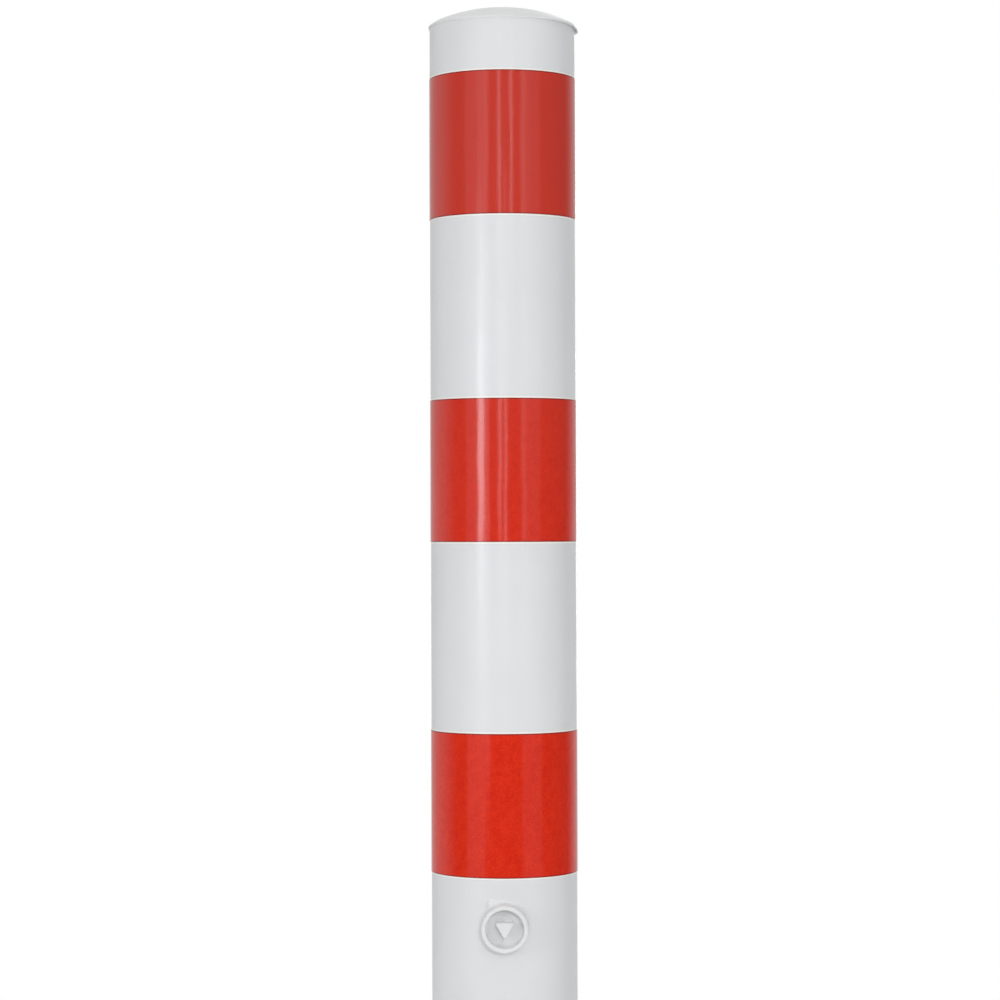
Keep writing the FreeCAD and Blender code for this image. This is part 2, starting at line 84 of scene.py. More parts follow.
# Places read from the frame
tube_low, tube_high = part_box("post_tube")
collar_low, collar_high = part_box("lock_collar")
cap_low, cap_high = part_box("post_cap")
sleeve_low, sleeve_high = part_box("ground_sleeve")
weld_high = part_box("collar_weld")[1]
bolt_low, bolt_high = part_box("latch_bolt")
BANDS = ("band_upper", "band_middle", "band_lower")
TUBE_R = tube_high.x
COLLAR_R = collar_high.x
LOCK_Z = (collar_low.z + collar_high.z) / 2
RIM_Y = collar_low.y
BOLT_Z = (bolt_low.z + bolt_high.z) / 2
SLEEVE_HALF = sleeve_high.x
WELD_LEG = weld_high.x - COLLAR_R

# Sizes of the solids that their boxes don't give
TUBE_WALL = 3 * MM
COLLAR_WALL = 3 * MM
BORE_R = COLLAR_R - COLLAR_WALL
BORE_DEPTH = 15 * MM
CAP_WALL = 2.5 * MM
CAP_BRIM_THICKNESS = 1.2 * MM
CAP_BRIM_OVERHANG = 1.6 * MM
CAP_SKIRT_CLEARANCE = 1.0 * MM
FILM_THICKNESS = 0.35 * MM
FILM_GLUE = 0.02 * MM
FILM_LAP = 12 * MM
SLEEVE_WALL = 3 * MM
SLEEVE_INNER_HALF = SLEEVE_HALF - SLEEVE_WALL
SLEEVE_CORNER = 4 * MM
SLEEVE_HOLE_R = 9.5 * MM
SLOT_WIDTH = 42 * MM
SLOT_HEIGHT = 12 * MM
SLOT_Z = -316 * MM
SLOT_CORNER = 1.5 * MM

# Small forms that are only here
TUBE_EDGE_R = 0.4 * MM
CAP_TILT_DEG = 0.5
CAP_DROP = 1.4 * MM              # dome's top below the solid's
CAP_ROLL_WIDTH = 7 * MM          # outer part of the dome that rolls down
CAP_ROLL_DEPTH = 1.3 * MM
CAP_BEAD_R = 0.45 * MM           # round of the rolled edge
CAP_BEAD_GAP = 0.2 * MM
CAP_LIP_DROP = 2.6 * MM          # droop of the edge at the right
CAP_FRONT_SHARE = 0.45           # share of the overhang that is left in front and behind
FILM_EDGE_R = 0.4 * FILM_THICKNESS
FILM_CLIMB = 6 * MM              # length over which the lap climbs on the film's start
RIM_ROUND_R = 1.15 * MM
PAINT_RUN_R = 1.2 * MM
PAINT_RUN_LIFT = 0.12 * MM       # run of paint in front of the stud's flange
WELD_SINK = 0.06 * MM            # depth of its edges under the post and the collar
WELD_ROOT = 0.5 * MM             # depth of the bead's hidden point in the corner
WELD_RIPPLE = 0.03 * MM
WELD_RIPPLE_COUNT = 26
WELD_LUMP_ANGLE = math.radians(122)
WELD_LUMP_SPREAD = 0.20
WELD_LUMP_RISE = 1.5 * MM
WELD_FULLNESS = 0.62             # how far the bead's section is drawn into the corner
SLEEVE_BLUNT = 0.35 * MM
RIM_RAGGED = 0.5 * MM
FOOT_RAGGED = 0.4 * MM
SEAM_WIDTH = 3 * MM
SEAM_WANDER = 0.5 * MM
# Chip in the rim of the sleeve's back wall, (x, z) in millimetres
RIM_CHIP = ((22.8, 1.0), (23.6, -0.9), (25.0, -2.7), (26.4, -3.4), (27.8, -2.6),
            (29.3, -1.3), (30.0, 1.0))

# Numbers of mesh steps
ROUND_STEPS = 192
COLLAR_STEPS = 128
CUTTER_STEPS = 96
SLEEVE_HOLE_STEPS = 64
DOME_STEPS = 24
FILM_STEPS = 240
RUN_STEPS = 6
WELD_STEPS_ROUND = 260
WELD_STEPS_ACROSS = 14
SLEEVE_SIDE_STEPS = 10
SLEEVE_CORNER_STEPS = 8
SEAM_STEPS_LONG = 160
SEAM_STEPS_ACROSS = 8


# Shader building

class Shader:
    """The nodes of a material or of the world, written as nested calls."""

    def __init__(self, owner):
        self.owner = owner
        owner.use_nodes = True
        self.tree = owner.node_tree
        self.tree.nodes.clear()

    def node(self, kind, inputs=None, **settings):
        made = self.tree.nodes.new("ShaderNode" + kind)
        for key, value in settings.items():
            setattr(made, key, value)
        for key, value in (inputs or {}).items():
            if isinstance(value, bpy.types.NodeSocket):
                self.tree.links.new(value, made.inputs[key])
            else:
                made.inputs[key].default_value = value
        return made

    def place(self):
        """Position on the object, in metres."""
        return self.node("TexCoord").outputs["Object"]

    def share(self):
        """Position as a share of the object's box; for the world, the direction."""
        return self.node("TexCoord").outputs["Generated"]

    def split(self, vector):
        return self.node("SeparateXYZ", {0: vector}).outputs

    def stretched(self, vector, scale):
        return self.node("Mapping", {"Vector": vector, "Scale": scale}).outputs[0]

    def math(self, operation, first, second=0.0, third=0.0):
        made = self.node("Math", {0: first, 1: second, 2: third}, operation=operation)
        return made.outputs[0]

    def product(self, first, *others):
        for other in others:
            first = self.math("MULTIPLY", first, other)
        return first

    def largest(self, first, *others):
        for other in others:
            first = self.math("MAXIMUM", first, other)
        return first

    def minus(self, first, second):
        return self.math("SUBTRACT", first, second)

    def absolute(self, value):
        return self.math("ABSOLUTE", value)

    def below(self, value, limit):
        return self.math("LESS_THAN", value, limit)

    def above(self, value, limit):
        return self.math("GREATER_THAN", value, limit)

    def distance(self, first, second):
        """Distance from the origin of a point with these two coordinates."""
        squares = [self.math("POWER", value, 2.0) for value in (first, second)]
        return self.math("SQRT", self.math("ADD", *squares))

    def weighted(self, first, weight, second):
        """Mean of two values, of which the first has this weight."""
        return self.math("MULTIPLY_ADD", first, weight, self.product(second, 1 - weight))

    def noise(self, vector, scale, detail, roughness=0.5, distortion=0.0):
        made = self.node("TexNoise", {"Vector": vector, "Scale": scale, "Detail": detail,
                                      "Roughness": roughness, "Distortion": distortion})
        return made.outputs[0]

    def cell_tone(self, vector, scale):
        """A random value for each cell."""
        colour = self.node("TexVoronoi", {"Vector": vector, "Scale": scale}).outputs["Color"]
        return self.split(colour)[0]

    def ramp(self, value, low, high, start=0.0, end=1.0):
        """Smooth step of value between low and high, from start to end."""
        made = self.node("MapRange", {0: value, 1: low, 2: high, 3: start, 4: end},
                         interpolation_type="SMOOTHSTEP")
        return made.outputs[0]

    def patches(self, vector, scale, detail, low, high, start=0.0, end=1.0, roughness=0.5):
        """Patches of noise, from start where it is low to end where it is high."""
        return self.ramp(self.noise(vector, scale, detail, roughness), low, high, start, end)

    def blend(self, factor, first, second):
        """Number between two numbers."""
        return self.node("Mix", {0: factor, 2: first, 3: second}).outputs[0]

    def mix(self, factor, first, second):
        """Colour between two colours."""
        made = self.node("Mix", {0: factor, 6: first, 7: second}, data_type="RGBA")
        return made.outputs[2]

    def bump(self, height, distance, normal=None):
        inputs = {"Height": height, "Distance": distance}
        if normal is not None:
            inputs["Normal"] = normal
        return self.node("Bump", inputs).outputs[0]

    def glow(self, strength):
        return self.node("Emission", {"Color": rgb(1, 1, 1), "Strength": strength}).outputs[0]

    def principled(self, **inputs):
        named = {key.replace("_", " "): value for key, value in inputs.items()}
        return self.node("BsdfPrincipled", named).outputs[0]

    def finish(self, surface):
        """Makes surface the material's surface and gives the material."""
        self.node("OutputMaterial", {"Surface": surface})
        return self.owner


def new_shader(name):
    return Shader(bpy.data.materials.new(name))


def rgb(red, green, blue):
    return (red, green, blue, 1.0)


# Materials

COAT_DIM = rgb(0.792, 0.793, 0.788)
COAT_PALE = rgb(0.810, 0.811, 0.806)
COAT_SPECK = rgb(0.52, 0.53, 0.55)
# Lighter coat painted deep in the lock's bore as light
BORE_PAINTED_LIGHT = rgb(0.90, 0.895, 0.885)
COAT_PEEL = 0.018 * MM
COAT_WAVES = 0.10 * MM
TUBE_WAVES = 0.45 * MM
# Pale colour painted along the film edges as a highlight
EDGE_HIGHLIGHT = rgb(0.98, 0.97, 0.90)
EDGE_HIGHLIGHT_WIDTH = 1.1 * MM

FILM_DEEP = rgb(0.68, 0.016, 0.002)
FILM_BRIGHT = rgb(0.78, 0.030, 0.006)
FILM_HIGH_TONE = rgb(0.60, 0.042, 0.026)
# Dark red painted along the film's cut edges as shade
FILM_EDGE_SHADE = rgb(0.26, 0.014, 0.014)
FILM_EDGE_SHADE_SHARE = 0.0105          # of the film's height
FILM_ROUGHNESS = 0.145
# Heights between which the film's red turns duller and darker
FILM_TONE_LOW_Z = 0.40
FILM_TONE_HIGH_Z = 0.85

SCALE_DARK = rgb(0.088, 0.053, 0.052)
SCALE_BROWN = rgb(0.134, 0.088, 0.086)
SCALE_GREY = rgb(0.165, 0.142, 0.148)
RUST = rgb(0.130, 0.058, 0.042)
SCUFFED = rgb(0.27, 0.27, 0.30)
# Dark colour painted inside the sleeve as shade
SLEEVE_INSIDE_SHADE = rgb(0.055, 0.036, 0.032)
WORN_SEAM = rgb(0.36, 0.33, 0.31)
# Pale corner line: partly worn metal, partly a painted highlight
CORNER_WEAR_AND_SHEEN = rgb(0.26, 0.25, 0.27)
FRESH_CUT = rgb(0.62, 0.67, 0.72)
BLUED = rgb(0.085, 0.130, 0.240)

ZINC_LIGHT = rgb(0.66, 0.66, 0.64)
ZINC_DARK = rgb(0.50, 0.51, 0.50)
BRASS_LIGHT = rgb(0.74, 0.55, 0.27)
BRASS_DARK = rgb(0.60, 0.42, 0.18)


def tube_waves(shader, place):
    """Slow waves of a drawn tube, which the paint and the film on it both follow."""
    waves = shader.noise(shader.stretched(place, (1.0, 1.0, 0.6)), 30.0, detail=1.0)
    return shader.bump(waves, TUBE_WAVES)


def orange_peel(shader, place):
    """Short waves of thick powder coat, and the fine peel on them."""
    waves = shader.noise(place, 95.0, detail=1.0)
    normal = shader.bump(waves, COAT_WAVES, tube_waves(shader, place))
    return shader.bump(shader.noise(place, 420.0, detail=1.0), COAT_PEEL, normal)


def powder_coat(name, edge_lines=(), in_bore=False, shine=0.5, roughness=0.20):
    """White powder coat with faint patches and specks.

    edge_lines are the heights of the film edges that it meets, each with 1 when the
    coat is above the film and -1 when it is below: a thin pale line of painted
    highlight runs along them.
    in_bore paints light inside the lock's bore: the coat gets lighter deeper in, against the
    shade there.
    """
    shader = new_shader(name)
    place = shader.place()
    x, y, height = shader.split(place)
    light = shader.patches(place, 14.0, 3.0, 0.35, 0.65)
    colour = shader.mix(light, COAT_DIM, COAT_PALE)
    specks = shader.patches(place, 900.0, 1.0, 0.70, 0.78, end=0.05)
    colour = shader.mix(specks, colour, COAT_SPECK)
    # Painted light: the coat gets lighter deeper in the bore, where shade falls
    if in_bore:
        off_axis = shader.distance(x, shader.minus(height, LOCK_Z))
        within = shader.below(off_axis, BORE_R + 0.1 * MM)
        deep = shader.ramp(y, RIM_Y + 3 * MM, RIM_Y + 11 * MM)
        colour = shader.mix(shader.product(within, deep), colour, BORE_PAINTED_LIGHT)
    # Painted highlight: a thin pale line on the coat along each film edge
    for edge, side in edge_lines:
        away = shader.product(shader.minus(height, edge), side)
        line = shader.product(shader.below(away, EDGE_HIGHLIGHT_WIDTH), shader.above(away, 0.0))
        colour = shader.mix(line, colour, EDGE_HIGHLIGHT)
    rough = shader.patches(place, 40.0, 2.0, 0.3, 0.7, roughness, roughness + 0.07)
    return shader.finish(shader.principled(
        Base_Color=colour, Roughness=rough, Normal=orange_peel(shader, place),
        Specular_IOR_Level=shine))


def reflective_film():
    """Red film over glass beads, under a clear glossy face, with painted shade along its cut
    edges.

    The higher a band is, the duller and darker its red.
    """
    shader = new_shader("red_film")
    place = shader.place()
    cloud = shader.noise(place, 160.0, detail=3.0)
    tone = shader.weighted(shader.cell_tone(place, 1500.0), 0.35, cloud)
    colour = shader.mix(shader.ramp(tone, 0.25, 0.75), FILM_DEEP, FILM_BRIGHT)
    # Duller, darker red higher up the post
    higher_up = shader.ramp(shader.split(place)[2], FILM_TONE_LOW_Z, FILM_TONE_HIGH_Z)
    colour = shader.mix(higher_up, colour, FILM_HIGH_TONE)
    # Painted shade: the film turns dark along its cut edges
    off_middle = shader.absolute(shader.minus(shader.split(shader.share())[2], 0.5))
    rim = shader.ramp(off_middle, 0.5 - FILM_EDGE_SHADE_SHARE, 0.5 - FILM_EDGE_SHADE_SHARE / 2, 0.0, 0.85)
    colour = shader.mix(rim, colour, FILM_EDGE_SHADE)
    streaks = shader.noise(shader.stretched(place, (1.0, 1.0, 0.12)), 150.0, detail=2.0)
    normal = shader.bump(streaks, 0.05 * MM, tube_waves(shader, place))
    normal = shader.bump(shader.noise(place, 700.0, detail=1.0), 0.006 * MM, normal)
    return shader.finish(shader.principled(
        Base_Color=colour, Roughness=FILM_ROUGHNESS, Normal=normal, Specular_IOR_Level=0.5))


def sleeve_steel():
    """Brown mill scale, greyer and scuffed towards the top, pale where it was cut."""
    shader = new_shader("raw_steel")
    place = shader.place()
    x, y, z = shader.split(place)
    wide = shader.absolute(x)
    deep = shader.absolute(y)

    # Scale: brown, finely mottled, with grey patches that thin out towards the foot
    mottle = shader.noise(place, 150.0, detail=5.0, roughness=0.65)
    cloud = shader.noise(place, 34.0, detail=4.0, roughness=0.6)
    tone = shader.weighted(mottle, 0.55, cloud)
    colour = shader.mix(shader.ramp(tone, 0.38, 0.62), SCALE_DARK, SCALE_BROWN)
    upper = shader.ramp(z, -0.24, -0.03, 0.15, 1.0)
    grey = shader.patches(place, 62.0, 6.0, 0.45, 0.62, roughness=0.7)
    colour = shader.mix(shader.product(grey, upper, 0.75), colour, SCALE_GREY)
    rust = shader.patches(place, 48.0, 5.0, 0.58, 0.72, end=0.45)
    colour = shader.mix(rust, colour, RUST)

    # Scuffs: short strokes, most of them near the top
    along = shader.noise(shader.stretched(place, (6.0, 6.0, 0.9)), 60.0, 3.0, distortion=0.6)
    across = shader.noise(shader.stretched(place, (1.0, 1.0, 5.0)), 62.0, 3.0, distortion=1.0)
    strokes = shader.largest(shader.ramp(along, 0.64, 0.71, 0.0, 0.5),
                             shader.ramp(across, 0.66, 0.73, 0.0, 0.5))
    scuff = shader.product(strokes, upper)
    colour = shader.mix(scuff, colour, SCUFFED)

    # Inside: darker with painted shade, and a pale worn line along the tube's seam
    inside = shader.below(shader.largest(wide, deep), SLEEVE_INNER_HALF + 0.05 * MM)
    colour = shader.mix(shader.product(inside, 0.55), colour, SLEEVE_INSIDE_SHADE)
    seam = shader.product(shader.below(wide, 1.9 * MM), inside,
                          shader.above(y, SLEEVE_INNER_HALF - 1.2 * MM))
    worn = shader.patches(place, 110.0, 2.0, 0.42, 0.60, 0.15, 0.75)
    colour = shader.mix(shader.product(seam, worn), colour, WORN_SEAM)

    # Corners: a thin pale line, partly worn metal and partly a painted highlight along the
    # rounding
    outward = shader.math("ADD", wide, deep)
    corner = shader.ramp(outward, 2 * SLEEVE_HALF - 3.4 * MM, 2 * SLEEVE_HALF - 2.5 * MM)
    corner = shader.product(corner, shader.patches(place, 70.0, 4.0, 0.38, 0.62, 0.15, 0.65))
    colour = shader.mix(corner, colour, CORNER_WEAR_AND_SHEEN)

    # Cuts: the ends, the bolt hole and the slot
    ragged = shader.product(shader.noise(place, 260.0, detail=4.0), 1.9 * MM)
    rim = shader.above(shader.math("ADD", z, ragged), -0.1 * MM)
    foot = shader.below(shader.minus(z, ragged), sleeve_low.z + 0.1 * MM)
    off_hole = shader.distance(x, shader.minus(z, BOLT_Z))
    hole = shader.below(off_hole, shader.math("ADD", ragged, SLEEVE_HOLE_R - 0.5 * MM))
    above_slot = shader.minus(z, SLOT_Z)
    off_slot = shader.largest(shader.minus(wide, SLOT_WIDTH / 2),
                              shader.minus(shader.absolute(above_slot), SLOT_HEIGHT / 2))
    slot = shader.below(off_slot, shader.minus(ragged, 0.5 * MM))
    cut = shader.largest(rim, foot, hole, slot)
    fresh = shader.patches(place, 85.0, 3.0, 0.36, 0.62, 0.35, 0.95)
    colour = shader.mix(shader.product(cut, fresh), colour, FRESH_CUT)

    # Blued steel above the slot, which was cut hot
    heat = shader.product(shader.ramp(off_slot, 1.0 * MM, 9.0 * MM, 1.0, 0.0),
                          shader.above(above_slot, SLOT_HEIGHT / 2),
                          shader.patches(place, 75.0, 3.0, 0.48, 0.60, 0.0, 0.75),
                          shader.minus(1.0, cut))
    colour = shader.mix(heat, colour, BLUED)

    bare = shader.largest(cut, scuff, corner)
    normal = shader.bump(tone, 0.14 * MM)
    normal = shader.bump(shader.noise(place, 500.0, detail=2.0), 0.02 * MM, normal)
    return shader.finish(shader.principled(
        Base_Color=colour, Metallic=shader.math("MULTIPLY_ADD", bare, 0.55, 0.25),
        Roughness=shader.minus(0.50, shader.product(bare, 0.14)), Normal=normal))


def turned_metal(name, light, dark, roughness):
    """Bare or plated metal with a fine grain and cloudy patches."""
    shader = new_shader(name)
    place = shader.place()
    cloud = shader.noise(place, 55.0, detail=4.0)
    colour = shader.mix(shader.ramp(cloud, 0.35, 0.65), dark, light)
    rough = shader.ramp(cloud, 0.3, 0.7, roughness, roughness + 0.12)
    grain = shader.noise(shader.stretched(place, (1.0, 12.0, 1.0)), 700.0, detail=2.0)
    return shader.finish(shader.principled(
        Base_Color=colour, Metallic=1.0, Roughness=rough,
        Normal=shader.bump(grain, 0.008 * MM)))


band_edges = []
for band_name in BANDS:
    band_low, band_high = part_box(band_name)
    band_edges += [(band_high.z, 1.0), (band_low.z, -1.0)]

white_paint = powder_coat("white_paint")
tube_paint = powder_coat("tube_paint", band_edges)
cap_paint = powder_coat("cap_paint", shine=0.4, roughness=0.30)
lock_paint = powder_coat("lock_paint", in_bore=True)
red_film = reflective_film()
raw_steel = sleeve_steel()
plated_steel = turned_metal("plated_steel", ZINC_LIGHT, ZINC_DARK, 0.30)
brass = turned_metal("brass", BRASS_LIGHT, BRASS_DARK, 0.28)
FINISHES = {"white_paint": white_paint, "red_film": red_film, "raw_steel": raw_steel,
            "plated_steel": plated_steel, "brass": brass}

for subpart in frame["record"]["subparts"]:
    node = frame["nodes"][subpart["node"]]
    node.data.materials.clear()
    node.data.materials.append(FINISHES[subpart["material_slot"]])
for name in ("lock_spindle", "spindle_bush"):
    frame["nodes"][name].data.materials[0] = lock_paint


# Mesh building

def new_mesh(name, points, faces):
    mesh = bpy.data.meshes.new(name)
    mesh.from_pydata([tuple(point) for point in points], [], faces)
    return mesh


def new_object(name, mesh):
    made = bpy.data.objects.new(name, mesh)
    bpy.context.scene.collection.objects.link(made)
    return made


def add_piece(name, points, faces, material, node, sharp_deg=35.0):
    """Mesh object that stands for a node and moves with the node's body."""
    mesh = new_mesh(name, points, faces)
    tidy_mesh(mesh)
    mesh.materials.append(material)
    shade(mesh, sharp_deg)
    made = new_object(name, mesh)
    body = frame["nodes"][node]["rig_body"]
    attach(made, body)
    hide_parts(node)
    return made


def tidy_mesh(mesh):
    """Merges doubled points, drops empty faces and turns all faces outwards."""
    work = bmesh.new()
    work.from_mesh(mesh)
    bmesh.ops.remove_doubles(work, verts=work.verts, dist=1e-7)
    bmesh.ops.dissolve_degenerate(work, edges=work.edges, dist=1e-8)
    bmesh.ops.recalc_face_normals(work, faces=work.faces)
    work.to_mesh(mesh)
    work.free()


def shade(mesh, sharp_deg):
    mesh.shade_smooth()
    mesh.set_sharp_from_angle(angle=math.radians(sharp_deg))


def rounded(corners, steps=4):
    """Closed outline whose corners, given as (u, v, radius), are rounded.

    A point just before and after each round keeps the shading of the flat stretches flat.
    """
    path = []
    for index, (u, v, radius) in enumerate(corners):
        here = Vector((u, v))
        if radius == 0:
            path.append(here)
            continue
        before = (Vector(corners[index - 1][:2]) - here).normalized()
        after = (Vector(corners[(index + 1) % len(corners)][:2]) - here).normalized()
        half = before.angle(after) / 2
        centre = here + (before + after).normalized() * radius / math.sin(half)
        first = here + before * radius / math.tan(half) - centre
        last = here + after * radius / math.tan(half) - centre
        sweep = math.pi - 2 * half
        path.append(centre + first + before * radius / 4)
        for step in range(steps + 1):
            part = step / steps
            way = first * math.sin((1 - part) * sweep) + last * math.sin(part * sweep)
            path.append(centre + way / math.sin(sweep))
        path.append(centre + last + after * radius / 4)
    return path


def ring_faces(rings, around, closed=True):
    """Quads between rings of points, each ring closed on itself.

    closed joins the last ring to the first.
    """
    faces = []
    for ring in range(rings if closed else rings - 1):
        after = (ring + 1) % rings
        for step in range(around):
            turn = (step + 1) % around
            faces.append((ring * around + step, ring * around + turn,
                          after * around + turn, after * around + step))
    return faces


def capped_faces(rings, around):
    """Quads between rings of points, with a face over the first ring and the last."""
    ends = [tuple(range(around)), tuple(range((rings - 1) * around, rings * around))]
    return ring_faces(rings, around, closed=False) + ends


def lathe(outline, around, put, closed=True):
    """Points and faces of a (radius, along) outline turned round an axis."""
    points = []
    for radius, along in outline:
        for step in range(around):
            angle = TURN * step / around
            points.append(put(radius * math.cos(angle), radius * math.sin(angle), along))
    return points, ring_faces(len(outline), around, closed)


def upright(x, y, along):
    """Puts a turned shape on the post's axis."""
    return Vector((x, y, along))


def facing_front(height):
    """Puts a turned shape on an axis along Y at a height."""
    def put(x, y, along):
        return Vector((x, along, height + y))
    return put


def cylinder(radius, start, end, put, around):
    return lathe([(0.0, start), (radius, start), (radius, end), (0.0, end)], around, put)


def prism(outline, start, end):
    """Points and faces of an (x, z) outline drawn out along Y."""
    points = [Vector((x, y, z)) for y in (start, end) for x, z in outline]
    return points, capped_faces(2, len(outline))


def cut_with(piece, cutter_points, cutter_faces):
    """Cuts a closed mesh out of a piece."""
    mesh = new_mesh("cutter", cutter_points, cutter_faces)
    tidy_mesh(mesh)
    cutter = new_object("cutter", mesh)
    modifier = piece.modifiers.new("cut", "BOOLEAN")
    modifier.operation = "DIFFERENCE"
    modifier.solver = "EXACT"
    modifier.object = cutter
    graph = bpy.context.evaluated_depsgraph_get()
    cut_mesh = bpy.data.meshes.new_from_object(piece.evaluated_get(graph))
    piece.modifiers.clear()
    old = piece.data
    piece.data = cut_mesh
    bpy.data.meshes.remove(old)
    bpy.data.objects.remove(cutter)
    bpy.data.meshes.remove(mesh)


def round_normals(mesh):
    """Gives faces that belong to a round surface about the Z axis that surface's normals."""
    round_share = 0.97
    normals = []
    for face in mesh.polygons:
        outward = face.center.xy.normalized().dot(face.normal.xy)
        for index in face.loop_indices:
            if abs(outward) < round_share:
                normals.append(face.normal.copy())
                continue
            point = mesh.vertices[mesh.loops[index].vertex_index].co
            radial = Vector((point.x, point.y, 0.0)).normalized()
            normals.append(radial * math.copysign(1.0, outward))
    mesh.normals_split_custom_set(normals)


# The post

def build_tube():
    """Round tube with the lock's hole. Two rings of points inside keep its faces short."""
    inner = TUBE_R - TUBE_WALL
    outline = rounded([(inner, tube_low.z, 0), (TUBE_R, tube_low.z, TUBE_EDGE_R),
                       (TUBE_R, tube_high.z, TUBE_EDGE_R), (inner, tube_high.z, 0)])
    reach = COLLAR_R + 4 * WELD_LEG
    outline += [Vector((inner, LOCK_Z + reach)), Vector((inner, LOCK_Z - reach))]
    points, faces = lathe(outline, ROUND_STEPS, upright)
    tube = add_piece("tube", points, faces, tube_paint, "post_tube")
    hole = cylinder(COLLAR_R + 0.05 * MM, -2 * TUBE_R, 0.0, facing_front(LOCK_Z), CUTTER_STEPS)
    cut_with(tube, *hole)
    shade(tube.data, 30.0)
    round_normals(tube.data)


def dome(edge_r, edge_z, rise):
    """Section of a spherical dome, from its edge inwards."""
    ball = (edge_r ** 2 + rise ** 2) / (2 * rise)
    widest = math.asin(edge_r / ball)
    angles = [widest * (1 - step / DOME_STEPS) for step in range(DOME_STEPS + 1)]
    return [Vector((ball * math.sin(angle), edge_z + rise - ball + ball * math.cos(angle)))
            for angle in angles]


def cap_outline():
    """Section of the cap: skirt, seat, rolled edge, dome and hollow."""
    seat = tube_high.z
    brim_r = TUBE_R + CAP_BRIM_OVERHANG
    skirt_r = TUBE_R - TUBE_WALL - CAP_SKIRT_CLEARANCE
    hollow_r = skirt_r - CAP_WALL
    apex_z = cap_high.z - CAP_DROP
    crown = dome(brim_r, seat + CAP_BRIM_THICKNESS, apex_z - seat - CAP_BRIM_THICKNESS)
    for point in crown:
        roll = max(1 - (brim_r - point.x) / CAP_ROLL_WIDTH, 0.0)
        point.y -= CAP_ROLL_DEPTH * roll ** 2
    middle = crown[0] - Vector((CAP_BEAD_R, 0))
    outline = [Vector((skirt_r, seat)), Vector((TUBE_R, seat)),
               Vector((TUBE_R + CAP_BEAD_GAP, middle.y - CAP_BEAD_R))]
    for degrees in range(-90, 60, 15):
        angle = math.radians(degrees)
        outline.append(middle + CAP_BEAD_R * Vector((math.cos(angle), math.sin(angle))))
    outline += [point for point in crown if point.x < brim_r - 2 * CAP_BEAD_R]
    outline += reversed(dome(hollow_r, seat, apex_z - CAP_WALL - seat))
    outline += [Vector((hollow_r, cap_low.z)), Vector((skirt_r, cap_low.z))]
    return outline


def build_cap():
    """Shallow dome whose edge rolls down over the tube, a little out of level and centre."""
    points, faces = lathe(cap_outline(), ROUND_STEPS, upright)
    centre_x = (cap_low.x + cap_high.x) / 2
    slope = math.tan(math.radians(CAP_TILT_DEG))
    for point in points:
        radius = point.xy.length
        over = radius - TUBE_R
        if over > 0:
            sideways = (abs(point.x) / radius) ** 2
            kept = CAP_FRONT_SHARE + (1 - CAP_FRONT_SHARE) * sideways
            point.xy *= (TUBE_R + over * kept) / radius
            to_right = max(point.x / radius, 0.0) ** 6
            point.z -= CAP_LIP_DROP * min(over / CAP_BRIM_OVERHANG, 1.0) * to_right
        if point.z > tube_high.z + 0.2 * MM:
            point.z -= slope * point.x
        point.x += centre_x
    add_piece("cap", points, faces, cap_paint, "post_cap", sharp_deg=60.0)


def build_band(node):
    """One strip of film wound once round, its end lapped over its start at the back."""
    low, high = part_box(node)
    start = TURN / 4
    lap = FILM_LAP / TUBE_R
    climb = FILM_CLIMB / TUBE_R
    section = rounded([(0.0, low.z, 0), (FILM_THICKNESS, low.z, FILM_EDGE_R),
                       (FILM_THICKNESS, high.z, FILM_EDGE_R), (0.0, high.z, 0)], steps=3)
    points = []
    for step in range(FILM_STEPS + 1):
        angle = (TURN + lap) * step / FILM_STEPS
        part = min(max((angle - (TURN - climb)) / climb, 0.0), 1.0)
        lift = part * part * (3 - 2 * part) * FILM_THICKNESS
        for out, height in section:
            radius = TUBE_R + FILM_GLUE + lift + out
            points.append((radius * math.cos(start + angle),
                           radius * math.sin(start + angle), height))
    faces = capped_faces(FILM_STEPS + 1, len(section))
    add_piece(node.replace("band", "film"), points, faces, red_film, node)


# The lock

def build_collar():
    """Short tube with a rounded rim, and a run of paint where its bore meets the flange."""
    back = collar_high.y
    outline = rounded([(BORE_R, back, 0), (COLLAR_R, back, 0),
                       (COLLAR_R, RIM_Y, RIM_ROUND_R), (BORE_R, RIM_Y, RIM_ROUND_R)], steps=6)
    floor = RIM_Y + BORE_DEPTH - PAINT_RUN_LIFT
    for step in range(RUN_STEPS + 1):
        angle = TURN / 4 * step / RUN_STEPS
        outline.append(Vector((BORE_R - PAINT_RUN_R + PAINT_RUN_R * math.cos(angle),
                               floor - PAINT_RUN_R + PAINT_RUN_R * math.sin(angle))))
    outline.append(Vector((BORE_R, floor)))
    points, faces = lathe(outline, COLLAR_STEPS, facing_front(LOCK_Z))
    add_piece("collar", points, faces, lock_paint, "lock_collar")


def weld_point(angle, off):
    """Point of the post's surface at a distance off the collar's side."""
    reach = COLLAR_R + off
    x = reach * math.cos(angle)
    return Vector((x, -math.sqrt(TUBE_R ** 2 - x ** 2), LOCK_Z + reach * math.sin(angle)))


def fillet(start, corner, end, part):
    """Point of a curve from start to end that is drawn towards the corner."""
    rest = 1 - part
    by_start = start.lerp(corner, WELD_FULLNESS)
    by_end = end.lerp(corner, WELD_FULLNESS)
    return (start * rest ** 3 + by_start * 3 * part * rest ** 2
            + by_end * 3 * part ** 2 * rest + end * part ** 3)


